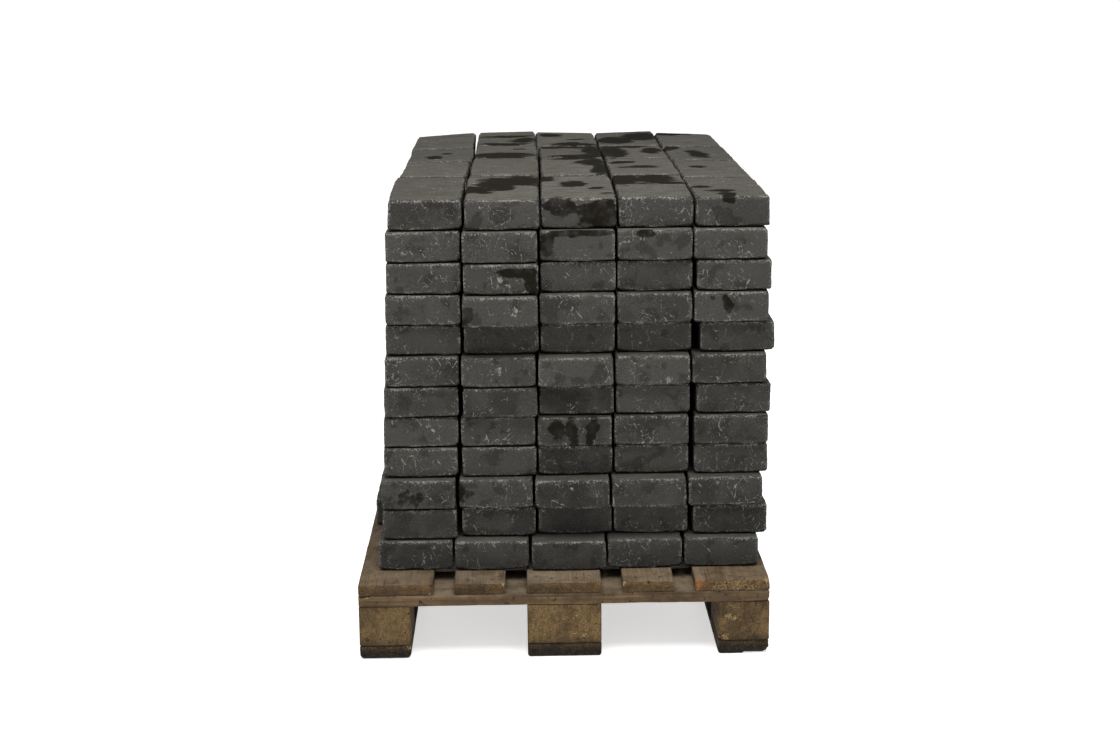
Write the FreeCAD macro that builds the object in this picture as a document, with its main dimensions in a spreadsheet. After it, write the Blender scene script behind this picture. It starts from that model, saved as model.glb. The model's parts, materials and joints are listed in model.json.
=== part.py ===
import FreeCAD, Part
import Sketcher
import math
import os

# A pallet load of paving: 240 tumbled concrete pavers, stacked in columns twelve courses high,
# on a four-way wooden pallet of 800 mm by 1200 mm.
#
# Millimetres, +Z up. X runs across the 800 mm width and Y along the 1200 mm length. The origin
# lies on the floor under the middle of the pallet, and the front of the load faces -Y.

# ---------------------------------------------------------------- driving dimensions

SIZES = {
    # pallet
    "pallet_width": 800,
    "pallet_length": 1200,
    "board_thickness": 22,
    "bottom_board_thickness": 28,
    "wide_board": 145,
    "narrow_board": 100,
    "block_height": 80,
    "block_length": 145,
    "side_block_width": 100,
    "centre_block_width": 145,
    "bevel_width": 14,
    "bevel_drop": 12,
    # nails
    "nail_head_radius": 4,
    "nail_head_height": 1.2,
    "nail_shank_radius": 1.8,
    "nail_tip_radius": 0.5,
    "nail_point": 6,
    "long_nail": 90,
    "short_nail": 40,
    "bottom_nail": 70,
    "nail_spread_x": 24,
    "nail_spread_y": 45,
    # pavers, sold as 150 x 300 x 60
    "paver_width": 146,
    "paver_length": 297,
    "paver_height": 61.3,
    "paver_round": 5,
    "bottom_column_pitch": 151,
    "top_column_pitch": 148.3,
    "row_pitch": 300.5,
    "stack_front": -503,
}

COLUMNS = 5
ROWS = 4
COURSES = 12

# How far each course lies from the stack's middle line (x) and from its mean front face (y),
# from the bottom course up. The stack leans a little to the right.
COURSE_SHIFTS = [
    (11, -18),
    (25, 8),
    (20, -12),
    (27, 10),
    (26, 5),
    (30, 6),
    (28, -2),
    (33, 15),
    (32, -7),
    (34, 2),
    (33, -2),
    (37, 10),
]

# Pavers that lie well out of line: (course, row, column) to a shift in x and y. Row 1 is the
# front row and column 1 the left one.
NUDGES = {
    (1, 1, 2): (0, -6),
    (1, 1, 3): (0, -12),
    (1, 2, 1): (-27, 0),
    (2, 1, 1): (-5, -14),
    (2, 1, 5): (6, -9),
    (3, 1, 1): (-2, 0),
    (3, 1, 3): (0, -9),
    (4, 1, 1): (-4, 0),
    (4, 1, 5): (6, 0),
    (5, 1, 1): (-2, 0),
    (5, 1, 3): (0, -7),
    (5, 1, 5): (6, -9),
    (6, 1, 1): (-4, 0),
    (6, 1, 2): (0, -16),
    (6, 1, 5): (8, 0),
    (7, 1, 2): (0, -12),
    (7, 1, 3): (0, -16),
    (8, 1, 1): (-2, 0),
    (8, 1, 3): (0, -6),
    (8, 1, 5): (12, -3),
    (9, 1, 2): (0, -24),
    (10, 1, 2): (0, -22),
    (10, 1, 5): (4, 0),
    (11, 1, 2): (0, -18),
    (11, 1, 5): (-1, 0),
    (12, 1, 2): (0, -12),
    (12, 3, 1): (-3, 0),
    (12, 4, 1): (-5, 0),
}

WOBBLE_X = 0.5        # random-looking shift of one paver across the stack
WOBBLE_Y = 1.0        # and along it
LINE_WOBBLE_Y = 4.0   # a whole front-to-back line of pavers slides together
YAW_WOBBLE = 0.12     # degrees

SHEET_NAME = "Sizes"
BLOCK_TOP = "Sizes.bottom_board_thickness + Sizes.block_height"


def fill_sheet(doc):
    """The spreadsheet that every feature reads: one plain number and one alias a row."""
    sheet = doc.addObject("Spreadsheet::Sheet", SHEET_NAME)
    cells = dict(SIZES)
    for course, (shift_x, shift_y) in enumerate(COURSE_SHIFTS, start=1):
        cells[f"course_{course:02d}_x"] = shift_x
        cells[f"course_{course:02d}_y"] = shift_y
    for line, (alias, value) in enumerate(cells.items(), start=1):
        sheet.set(f"A{line}", alias)
        sheet.set(f"B{line}", str(value))
        sheet.setAlias(f"B{line}", alias)
    doc.recompute()
    return sheet


def bind(feature, **expressions):
    """Bind properties of a feature to expressions on the sheet; x, y and z are its place."""
    for name, expression in expressions.items():
        path = f"Placement.Base.{name}" if name in ("x", "y", "z") else name
        feature.setExpression(path, expression)


# ---------------------------------------------------------------- shared shapes

def rectangle_sketch(body, name, width, length):
    """A rectangle on the body's XY plane, centred on its origin, both sizes bound."""
    sketch = body.newObject("Sketcher::SketchObject", name)
    plane = next(item for item in body.Origin.OriginFeatures if item.Role == "XY_Plane")
    sketch.AttachmentSupport = [(plane, "")]
    sketch.MapMode = "FlatFace"
    corners = [FreeCAD.Vector(x, y, 0) for x, y in ((-10, -10), (10, -10), (10, 10), (-10, 10))]
    for start, end in zip(corners, corners[1:] + corners[:1]):
        sketch.addGeometry(Part.LineSegment(start, end), False)
    for side in range(4):
        sketch.addConstraint(Sketcher.Constraint("Coincident", side, 2, (side + 1) % 4, 1))
    for side in (0, 2):
        sketch.addConstraint(Sketcher.Constraint("Horizontal", side))
    for side in (1, 3):
        sketch.addConstraint(Sketcher.Constraint("Vertical", side))
    sketch.addConstraint(Sketcher.Constraint("Symmetric", 0, 1, 1, 2, -1, 1))
    across = sketch.addConstraint(Sketcher.Constraint("DistanceX", 0, 1, 0, 2, 20))
    along = sketch.addConstraint(Sketcher.Constraint("DistanceY", 1, 1, 1, 2, 20))
    sketch.renameConstraint(across, "across")
    sketch.renameConstraint(along, "along")
    sketch.setExpression("Constraints.across", width)
    sketch.setExpression("Constraints.along", length)
    return sketch


def slab(doc, name, width, length, height):
    """A sawn piece: a rectangle padded up from its own XY plane."""
    body = doc.addObject("PartDesign::Body", name)
    sketch = rectangle_sketch(body, name + "_outline", width, length)
    pad = body.newObject("PartDesign::Pad", name + "_pad")
    pad.Profile = sketch
    bind(pad, Length=height)
    doc.recompute()
    return body, pad


def paver(doc, name):
    """One paver with every edge rounded by tumbling; its underside lies at its own z = 0."""
    body, pad = slab(doc, name, "Sizes.paver_width", "Sizes.paver_length", "Sizes.paver_height")
    rounding = body.newObject("PartDesign::Fillet", name + "_rounding")
    edges = [f"Edge{number}" for number in range(1, len(pad.Shape.Edges) + 1)]
    rounding.Base = (pad, edges)
    bind(rounding, Radius="Sizes.paver_round")
    body.Tip = rounding
    return body


def group_of(doc, name, original, places):
    """Copies of one piece at the given placements, gathered in one object."""
    copies = []
    for number, place in enumerate(places, start=1):
        copy = doc.addObject("App::Link", f"{name}_{number:02d}")
        copy.LinkedObject = original
        copy.Placement = place
        copies.append(copy)
    group = doc.addObject("Part::Compound", name)
    group.Links = copies
    return group


# ---------------------------------------------------------------- nails

def nail(doc, name, length):
    """A nail hanging from z = 0: flat head, shank and a blunt point."""
    head = doc.addObject("Part::Cylinder", name + "_head")
    bind(head, Radius="Sizes.nail_head_radius", Height="Sizes.nail_head_height",
         z="-Sizes.nail_head_height")
    shank = doc.addObject("Part::Cylinder", name + "_shank")
    bind(shank, Radius="Sizes.nail_shank_radius", Height=f"{length} - Sizes.nail_point",
         z=f"Sizes.nail_point - {length}")
    point = doc.addObject("Part::Cone", name + "_point")
    bind(point, Radius1="Sizes.nail_tip_radius", Radius2="Sizes.nail_shank_radius",
         Height="Sizes.nail_point", z=f"-{length}")
    whole = doc.addObject("Part::MultiFuse", name)
    whole.Shapes = [head, shank, point]
    return whole


def block_centres(sizes):
    """The middle of each of the nine blocks, with its name."""
    across = {
        "left": (sizes["side_block_width"] - sizes["pallet_width"]) / 2,
        "centre": 0,
        "right": (sizes["pallet_width"] - sizes["side_block_width"]) / 2,
    }
    along = {
        "front": (sizes["block_length"] - sizes["pallet_length"]) / 2,
        "middle": 0,
        "rear": (sizes["pallet_length"] - sizes["block_length"]) / 2,
    }
    for row_name, y in along.items():
        for column_name, x in across.items():
            yield f"{row_name}_{column_name}", x, y


def make_nails(doc, sizes):
    """Three nails down and three up into every block, four where a narrow board crosses."""
    spread_x = sizes["nail_spread_x"]
    spread_y = sizes["nail_spread_y"]
    deck_top = sizes["bottom_board_thickness"] + sizes["block_height"] + 2 * sizes["board_thickness"]
    downward = FreeCAD.Rotation()
    upward = FreeCAD.Rotation(FreeCAD.Vector(1, 0, 0), 180)
    triangle = [(-spread_x, -spread_y), (spread_x, -spread_y), (0, spread_y)]
    square = [(x, y) for x in (-spread_x, spread_x) for y in (-spread_y, spread_y)]

    long_places = []
    bottom_places = []
    for _, x, y in block_centres(sizes):
        for dx, dy in triangle:
            long_places.append(FreeCAD.Placement(FreeCAD.Vector(x + dx, y + dy, deck_top), downward))
            bottom_places.append(FreeCAD.Placement(FreeCAD.Vector(x + dx, y - dy, 0), upward))

    short_places = []
    for x in narrow_board_middles(sizes):
        for y in stringer_middles(sizes):
            for dx, dy in square:
                point = FreeCAD.Vector(x + dx, y + dy, deck_top)
                short_places.append(FreeCAD.Placement(point, downward))

    long_nail = nail(doc, "long_nail", "Sizes.long_nail")
    short_nail = nail(doc, "short_nail", "Sizes.short_nail")
    bottom_nail = nail(doc, "bottom_nail", "Sizes.bottom_nail")
    return {
        "deck_nails_long": group_of(doc, "deck_nails_long", long_nail, long_places),
        "deck_nails_short": group_of(doc, "deck_nails_short", short_nail, short_places),
        "bottom_nails": group_of(doc, "bottom_nails", bottom_nail, bottom_places),
    }


# ---------------------------------------------------------------- pallet

def narrow_board_middles(sizes):
    """X of the two narrow deck boards, halfway between the wide ones."""
    offset = (sizes["pallet_width"] - sizes["wide_board"]) / 4
    return (-offset, offset)


def stringer_middles(sizes):
    """Y of the three boards that cross under the deck."""
    offset = (sizes["pallet_length"] - sizes["wide_board"]) / 2
    return (-offset, 0, offset)


def nailed(doc, label, wood, nail_groups):
    """The piece of wood with the holes that its nails make."""
    for group in nail_groups:
        bored = doc.addObject("Part::Cut", f"{label}_bored")
        bored.Base = wood
        bored.Tool = group
        wood = bored
    wood.Label = label
    return wood


def deck_board(doc, label, width, x, nail_groups):
    """A top board, running the full length of the pallet."""
    body, _ = slab(doc, label + "_blank", width, "Sizes.pallet_length", "Sizes.board_thickness")
    bind(body, x=x, z=f"{BLOCK_TOP} + Sizes.board_thickness")
    return nailed(doc, label, body, nail_groups)


def stringer_board(doc, label, y, nail_groups):
    """A board across the pallet, between the blocks and the deck."""
    body, _ = slab(doc, label + "_blank", "Sizes.pallet_width", "Sizes.wide_board",
                   "Sizes.board_thickness")
    bind(body, y=y, z=BLOCK_TOP)
    return nailed(doc, label, body, nail_groups)


def spacer_block(doc, label, width, x, y, nail_groups):
    """One of the nine blocks that hold the deck up and leave room for the forks."""
    body, _ = slab(doc, label + "_blank", width, "Sizes.block_length", "Sizes.block_height")
    body.Placement.Base = FreeCAD.Vector(x, y, 0)
    bind(body, z="Sizes.bottom_board_thickness")
    return nailed(doc, label, body, nail_groups)


def entry_bevels(doc, label, width, x):
    """Wedges along both upper edges of a bottom board, in its two stretches between blocks."""
    stretch = "(Sizes.pallet_length - 3 * Sizes.block_length) / 2"
    wedges = []
    for side in (-1, 1):
        for end in (-1, 1):
            wedge = doc.addObject("Part::Wedge", f"{label}_bevel")
            for start in ("Xmin", "X2min", "X2max", "Ymin", "Zmin", "Z2min"):
                setattr(wedge, start, 0)
            # Turned so that its Y points down from the board's top and its Z along the board.
            bind(wedge, Xmax="Sizes.bevel_width", Ymax="Sizes.bevel_drop", Zmax=stretch,
                 Z2max=stretch)
            turn = FreeCAD.Rotation(FreeCAD.Vector(1, 0, 0), -90)
            if side > 0:
                turn = FreeCAD.Rotation(FreeCAD.Vector(0, 0, 1), 180).multiply(turn)
            wedge.Placement.Rotation = turn
            near = f"{end} * Sizes.block_length / 2"
            far = f"{end} * (Sizes.block_length / 2 + {stretch})"
            starts_at_far = (end < 0) == (side < 0)
            bind(wedge, x=f"{x} + {side} * {width} / 2", y=far if starts_at_far else near,
                 z="Sizes.bottom_board_thickness")
            wedges.append(wedge)
    return wedges


def bottom_board(doc, label, width, x, nail_groups):
    """A board under one line of blocks, bevelled between them so that a pallet truck's rollers
    climb over it."""
    body, _ = slab(doc, label + "_blank", width, "Sizes.pallet_length",
                   "Sizes.bottom_board_thickness")
    bind(body, x=x)
    wedges = doc.addObject("Part::Compound", label + "_bevels")
    wedges.Links = entry_bevels(doc, label, width, x)
    bevelled = doc.addObject("Part::Cut", label + "_bevelled")
    bevelled.Base = body
    bevelled.Tool = wedges
    return nailed(doc, label, bevelled, nail_groups)


def make_pallet(doc, sizes):
    """Five deck boards, three stringer boards, nine blocks, three bottom boards and their nails."""
    nails = make_nails(doc, sizes)
    long_nails = nails["deck_nails_long"]
    short_nails = nails["deck_nails_short"]
    bottom_nails = nails["bottom_nails"]
    parts = list(nails.values())

    outer_x = "(Sizes.pallet_width - Sizes.wide_board) / 2"
    inner_x = "(Sizes.pallet_width - Sizes.wide_board) / 4"
    for label, width, x, groups in (
        ("deck_board_left", "Sizes.wide_board", f"-{outer_x}", [long_nails]),
        ("deck_board_inner_left", "Sizes.narrow_board", f"-{inner_x}", [short_nails]),
        ("deck_board_centre", "Sizes.wide_board", "0", [long_nails]),
        ("deck_board_inner_right", "Sizes.narrow_board", inner_x, [short_nails]),
        ("deck_board_right", "Sizes.wide_board", outer_x, [long_nails]),
    ):
        parts.append(deck_board(doc, label, width, x, groups))

    end_y = "(Sizes.pallet_length - Sizes.wide_board) / 2"
    for label, y in (("front", f"-{end_y}"), ("middle", "0"), ("rear", end_y)):
        groups = [long_nails, short_nails]
        parts.append(stringer_board(doc, f"stringer_board_{label}", y, groups))

    for name, x, y in block_centres(sizes):
        width = "Sizes.centre_block_width" if x == 0 else "Sizes.side_block_width"
        groups = [long_nails, bottom_nails]
        parts.append(spacer_block(doc, f"block_{name}", width, x, y, groups))

    side_x = "(Sizes.pallet_width - Sizes.side_block_width) / 2"
    for label, width, x in (
        ("bottom_board_left", "Sizes.side_block_width", f"-{side_x}"),
        ("bottom_board_centre", "Sizes.centre_block_width", "0"),
        ("bottom_board_right", "Sizes.side_block_width", side_x),
    ):
        parts.append(bottom_board(doc, label, width, x, [bottom_nails]))
    return parts


# ---------------------------------------------------------------- pavers

def wobble(*numbers):
    """A repeatable value from -1 to 1 that looks random from paver to paver."""
    mixed = sum(number * factor for number, factor in zip(numbers, (12.9898, 78.233, 37.719, 9.151)))
    return math.sin(mixed * 1.7)


def column_pitch(sizes, course):
    """From one column to the next; the courses are laid a little tighter towards the top."""
    rise = (course - 1) / (COURSES - 1)
    bottom = sizes["bottom_column_pitch"]
    return bottom + rise * (sizes["top_column_pitch"] - bottom)


def paver_place(sizes, course, row, column):
    """Where a paver lies in its course, measured from the course's own middle line and front."""
    nudge_x, nudge_y = NUDGES.get((course, row, column), (0, 0))
    x = (column - (COLUMNS + 1) / 2) * column_pitch(sizes, course)
    y = (row - 0.5) * sizes["row_pitch"]
    x += WOBBLE_X * wobble(course, row, column, 1) + nudge_x
    y += WOBBLE_Y * wobble(course, row, column, 2) + nudge_y
    y += LINE_WOBBLE_Y * wobble(course, 0, column, 3)
    yaw = YAW_WOBBLE * wobble(course, row, column, 4)
    return FreeCAD.Vector(x, y, 0), FreeCAD.Rotation(FreeCAD.Vector(0, 0, 1), yaw)


def course_height(course):
    """The expression for the underside of a course."""
    deck_top = f"{BLOCK_TOP} + 2 * Sizes.board_thickness"
    return f"{deck_top} + {course - 1} * Sizes.paver_height"


def positions():
    """Every row and column of a course."""
    return [(row, column) for row in range(1, ROWS + 1) for column in range(1, COLUMNS + 1)]


def make_lower_courses(doc, sizes):
    """Eleven courses that each stay together as one layer of twenty separate pavers."""
    master = paver(doc, "paver")
    parts = []
    for course in range(1, COURSES):
        places = []
        for row, column in positions():
            places.append(FreeCAD.Placement(*paver_place(sizes, course, row, column)))
        label = f"course_{course:02d}"
        layer = group_of(doc, label, master, places)
        bind(layer, x=f"Sizes.{label}_x", y=f"Sizes.stack_front + Sizes.{label}_y",
             z=course_height(course))
        parts.append(layer)
    return parts


def make_top_course(doc, sizes):
    """The twenty pavers of the top course, each a piece that lifts off by itself."""
    parts = []
    for row, column in positions():
        body = paver(doc, f"top_paver_row{row}_col{column}")
        offset, turn = paver_place(sizes, COURSES, row, column)
        body.Placement.Rotation = turn
        bind(body, x=f"Sizes.course_{COURSES}_x + {offset.x:.4f}",
             y=f"Sizes.stack_front + Sizes.course_{COURSES}_y + {offset.y:.4f}",
             z=course_height(COURSES))
        parts.append(body)
    return parts


# ---------------------------------------------------------------- checks and files

def check_document(doc, parts):
    """Stop on any feature that failed and on any sub-part without a valid solid."""
    for item in doc.Objects:
        if "Invalid" in item.State or "Error" in item.State:
            raise RuntimeError(f"{item.Label} did not recompute: {item.State}")
    for part in parts:
        shape = part.Shape
        if shape.isNull() or not shape.isValid() or not shape.Solids:
            raise RuntimeError(f"{part.Label} has no valid solid")


def write_parts(parts):
    """One STEP file for each sub-part, named after its label."""
    os.makedirs("parts", exist_ok=True)
    for part in parts:
        part.Shape.exportStep(f"parts/{part.Label}.step")


def main():
    doc = FreeCAD.newDocument("PalletOfPavers")
    sheet = fill_sheet(doc)
    sizes = {alias: float(sheet.get(alias)) for alias in SIZES}
    parts = make_pallet(doc, sizes)
    parts += make_lower_courses(doc, sizes)
    parts += make_top_course(doc, sizes)
    doc.recompute()
    check_document(doc, parts)
    write_parts(parts)
    print(f"{len(parts)} sub-parts, {sum(len(part.Shape.Solids) for part in parts)} solids")


main()
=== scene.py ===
import itertools
import json
import math

import bmesh
import bpy
import numpy as np
from mathutils import Matrix, Vector


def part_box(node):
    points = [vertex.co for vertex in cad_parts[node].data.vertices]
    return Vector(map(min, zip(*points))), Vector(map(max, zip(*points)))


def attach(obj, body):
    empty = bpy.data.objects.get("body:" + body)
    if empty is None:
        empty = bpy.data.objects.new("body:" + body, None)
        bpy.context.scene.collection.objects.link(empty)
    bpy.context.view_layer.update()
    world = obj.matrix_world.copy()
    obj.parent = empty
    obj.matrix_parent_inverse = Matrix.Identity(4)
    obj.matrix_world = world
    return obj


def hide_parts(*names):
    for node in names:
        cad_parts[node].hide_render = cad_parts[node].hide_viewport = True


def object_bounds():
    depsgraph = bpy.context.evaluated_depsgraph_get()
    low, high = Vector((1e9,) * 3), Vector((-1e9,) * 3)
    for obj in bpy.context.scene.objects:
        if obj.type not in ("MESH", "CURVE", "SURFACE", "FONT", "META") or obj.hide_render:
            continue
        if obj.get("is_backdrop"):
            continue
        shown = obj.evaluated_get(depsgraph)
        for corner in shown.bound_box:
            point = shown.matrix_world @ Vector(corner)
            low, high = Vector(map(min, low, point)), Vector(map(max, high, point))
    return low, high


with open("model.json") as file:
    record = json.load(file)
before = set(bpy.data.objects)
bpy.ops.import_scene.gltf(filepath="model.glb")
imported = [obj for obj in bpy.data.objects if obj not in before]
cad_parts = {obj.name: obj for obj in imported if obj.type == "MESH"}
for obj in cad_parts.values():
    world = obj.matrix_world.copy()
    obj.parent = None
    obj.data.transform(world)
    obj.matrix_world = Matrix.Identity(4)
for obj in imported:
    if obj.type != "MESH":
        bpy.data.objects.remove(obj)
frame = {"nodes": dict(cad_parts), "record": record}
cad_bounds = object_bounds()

# The looks of a pallet of tumbled concrete pavers. Metres, +Z up, the load's front faces -Y.
# Every paver and every piece of wood is rebuilt as a worn solid in the place of its CAD solid.

MM = 0.001
ROWS = 4
COLUMNS = 5
COURSES = 12


# ---------------------------------------------------------------- noise on arrays of points

def lattice_values(cells, seed):
    """A repeatable value from -1 to 1 for each whole-number cell (x, y, z).

    The large numbers are common hash multipliers, which scatter the bits of the cell's place."""
    x, y, z = (cells[..., axis].astype(np.uint64) for axis in range(3))
    mixed = x * np.uint64(374761393) + y * np.uint64(668265263) + z * np.uint64(2246822519)
    mixed = mixed + np.uint64(seed * 144665 + 977)
    mixed = (mixed ^ (mixed >> np.uint64(13))) * np.uint64(1274126177)
    mixed = mixed ^ (mixed >> np.uint64(16))
    return (mixed & np.uint64(0xFFFF)).astype(float) / 32767.5 - 1.0


CELL_OFFSET = 4096.0  # keeps the numbers of the noise cells above 0


def noise(points, cell, seed=0):
    """Smooth noise from -1 to 1, with bumps about `cell` metres across."""
    scaled = points / cell + CELL_OFFSET
    low = np.floor(scaled)
    part = scaled - low
    part = part * part * (3 - 2 * part)
    low = low.astype(np.int64)
    total = np.zeros(len(points))
    for corner in itertools.product((0, 1), repeat=3):
        weight = np.ones(len(points))
        for axis, side in enumerate(corner):
            weight *= part[:, axis] if side else 1 - part[:, axis]
        total += weight * lattice_values(low + np.array(corner), seed)
    return total


def depth_noise(points, cell, seed):
    """Smooth noise from 0 to 1."""
    return (1 + noise(points, cell, seed)) / 2


def smooth_step(value, low, high):
    """0 below low, 1 above high and smooth between them."""
    t = np.clip((value - low) / (high - low), 0, 1)
    return t * t * (3 - 2 * t)


# ---------------------------------------------------------------- block-shaped meshes

def graded_lines(length, edge_steps, middle_step):
    """Places of the grid lines from 0 to length: close together at both ends, wider between."""
    steps = []
    reach = 0.0
    for step in edge_steps:
        if reach + step > length / 2 - middle_step / 2:
            break
        reach += step
        steps.append(reach)
    middle = length - 2 * reach
    count = max(1, round(middle / middle_step))
    inner = [reach + middle * index / count for index in range(1, count)]
    return np.array([0.0] + steps + inner + [length - at for at in reversed(steps)] + [length])


def shell_grid(lines):
    """The surface of a block as a grid: its corner points and its four-sided faces.

    lines holds the grid lines along x, y and z. The block is centred on x = y = z = 0."""
    counts = [len(along) for along in lines]
    index = np.full(counts, -1)
    inside = np.zeros(counts, bool)
    inside[1:-1, 1:-1, 1:-1] = True
    index[~inside] = np.arange(np.count_nonzero(~inside))
    places = np.argwhere(~inside)
    points = np.stack([lines[axis][places[:, axis]] for axis in range(3)], axis=1)
    points -= np.array([along[-1] / 2 for along in lines])
    faces = []
    for axis in range(3):
        for side in (0, -1):
            sheet = np.take(index, side, axis=axis)
            corners = [sheet[:-1, :-1], sheet[1:, :-1], sheet[1:, 1:], sheet[:-1, 1:]]
            quads = np.stack(corners, axis=-1).reshape(-1, 4)
            outward = (side == -1) == (axis != 1)
            faces.append(quads if outward else quads[:, ::-1])
    return points, np.concatenate(faces)


def rounded(points, half, radius):
    """Points of a block's surface pulled in so that its edges are round.

    radius is given for each point. Returns the moved points and their outward directions."""
    radius = np.minimum(radius, half.min() * 0.95)[:, None]
    core = np.clip(points, -(half - radius), half - radius)
    out = points - core
    reach = np.maximum(np.linalg.norm(out, axis=1, keepdims=True), 1e-9)
    out = out / reach
    return core + out * radius, out


def scoop(points, centre, radius):
    """Hollows out the part of a surface that lies within a ball. Returns how deep it went."""
    away = points - centre
    distance = np.linalg.norm(away, axis=1)
    depth = np.maximum(radius - distance, 0)
    hit = depth > 0
    points[hit] = centre + away[hit] * (radius / np.maximum(distance[hit], 1e-6))[:, None]
    return depth


def edge_point(rng, half):
    """A random point on one of a block's twelve edges, and the direction out of that edge."""
    lengths = np.repeat(half, 4)
    edge = rng.choice(12, p=lengths / lengths.sum())
    axis = edge // 4
    signs = np.array([1.0 if edge % 4 in (0, 1) else -1.0, 1.0 if edge % 2 else -1.0])
    point = np.zeros(3)
    out = np.zeros(3)
    others = [other for other in range(3) if other != axis]
    point[axis] = rng.uniform(-half[axis], half[axis])
    point[others] = signs * half[others]
    out[others] = signs / math.sqrt(2)
    return point, out


def build_mesh(name, points, faces, values):
    """A smooth-shaded mesh object from arrays, with named values stored on its points."""
    mesh = bpy.data.meshes.new(name)
    mesh.vertices.add(len(points))
    mesh.vertices.foreach_set("co", points.astype(np.float32).ravel())
    mesh.loops.add(faces.size)
    mesh.loops.foreach_set("vertex_index", faces.astype(np.int32).ravel())
    mesh.polygons.add(len(faces))
    mesh.polygons.foreach_set("loop_start", np.arange(0, faces.size, 4, dtype=np.int32))
    mesh.polygons.foreach_set("loop_total", np.full(len(faces), 4, np.int32))
    mesh.update(calc_edges=True)
    mesh.validate()
    mesh.shade_smooth()
    for key, data in values.items():
        kind, field = ("FLOAT_VECTOR", "vector") if data.ndim == 2 else ("FLOAT", "value")
        layer = mesh.attributes.new(key, kind, "POINT")
        layer.data.foreach_set(field, data.astype(np.float32).ravel())
    piece = bpy.data.objects.new(name, mesh)
    bpy.context.scene.collection.objects.link(piece)
    return piece


def joined(shapes):
    """Several (points, faces, values) as one."""
    starts = np.cumsum([0] + [len(shape[0]) for shape in shapes[:-1]])
    points = np.concatenate([shape[0] for shape in shapes])
    faces = np.concatenate([shape[1] + start for shape, start in zip(shapes, starts)])
    keys = shapes[0][2].keys()
    values = {key: np.concatenate([shape[2][key] for shape in shapes]) for key in keys}
    return points, faces, values


# ---------------------------------------------------------------- where the CAD solids are

def solids_of(node):
    """The corner points of each separate solid of a CAD node."""
    work = bmesh.new()
    work.from_mesh(frame["nodes"][node].data)
    bmesh.ops.remove_doubles(work, verts=work.verts, dist=0.01 * MM)
    seen = set()
    solids = []
    for start in work.verts:
        if start in seen:
            continue
        seen.add(start)
        waiting = [start]
        found = []
        while waiting:
            corner = waiting.pop()
            found.append(tuple(corner.co))
            for edge in corner.link_edges:
                other = edge.other_vert(corner)
                if other not in seen:
                    seen.add(other)
                    waiting.append(other)
        solids.append(np.array(found))
    work.free()
    return solids


def paver_box(corners):
    """Centre, half size and turn about z of a paver, from its solid's corner points."""
    turns = np.radians(np.linspace(-0.5, 0.5, 201))
    widths = [np.ptp(corners[:, 0] * math.cos(turn) + corners[:, 1] * math.sin(turn))
              for turn in turns]
    turn = turns[int(np.argmin(widths))]
    spin = np.array([[math.cos(turn), -math.sin(turn)], [math.sin(turn), math.cos(turn)]])
    local = corners.copy()
    local[:, :2] = corners[:, :2] @ spin
    low = local.min(0)
    high = local.max(0)
    centre = (low + high) / 2
    centre[:2] = spin @ centre[:2]
    return centre, (high - low) / 2, spin


def course_boxes(node):
    """The pavers of a course as (row, column, box), counted from the front left."""
    boxes = sorted((paver_box(corners) for corners in solids_of(node)), key=lambda box: box[0][1])
    for row in range(ROWS):
        line = sorted(boxes[row * COLUMNS:(row + 1) * COLUMNS], key=lambda box: box[0][0])
        for column, box in enumerate(line):
            yield row + 1, column + 1, box


# ---------------------------------------------------------------- pavers

# For each grade: the grid steps from an edge inwards, the wider steps across the middle along
# x, y and z, and the number of chips.
EDGE_STEPS = np.array([1.2, 1.4, 1.7, 2.1, 2.6, 3.2]) * MM
GRADES = {
    "front": (EDGE_STEPS, np.array([3.6, 11.0, 3.2]) * MM, 34),
    "outer": (EDGE_STEPS, np.array([6.5, 9.0, 4.5]) * MM, 18),
    "inner": (np.array([2.5, 5.0]) * MM, np.array([16.0, 26.0, 14.0]) * MM, 3),
}


def grid_grade(course, row, column):
    """How finely a paver is made: most at the front, least where it is out of sight."""
    if row == 1:
        return "front"
    if row == ROWS or column in (1, COLUMNS) or course == COURSES:
        return "outer"
    return "inner"


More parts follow.
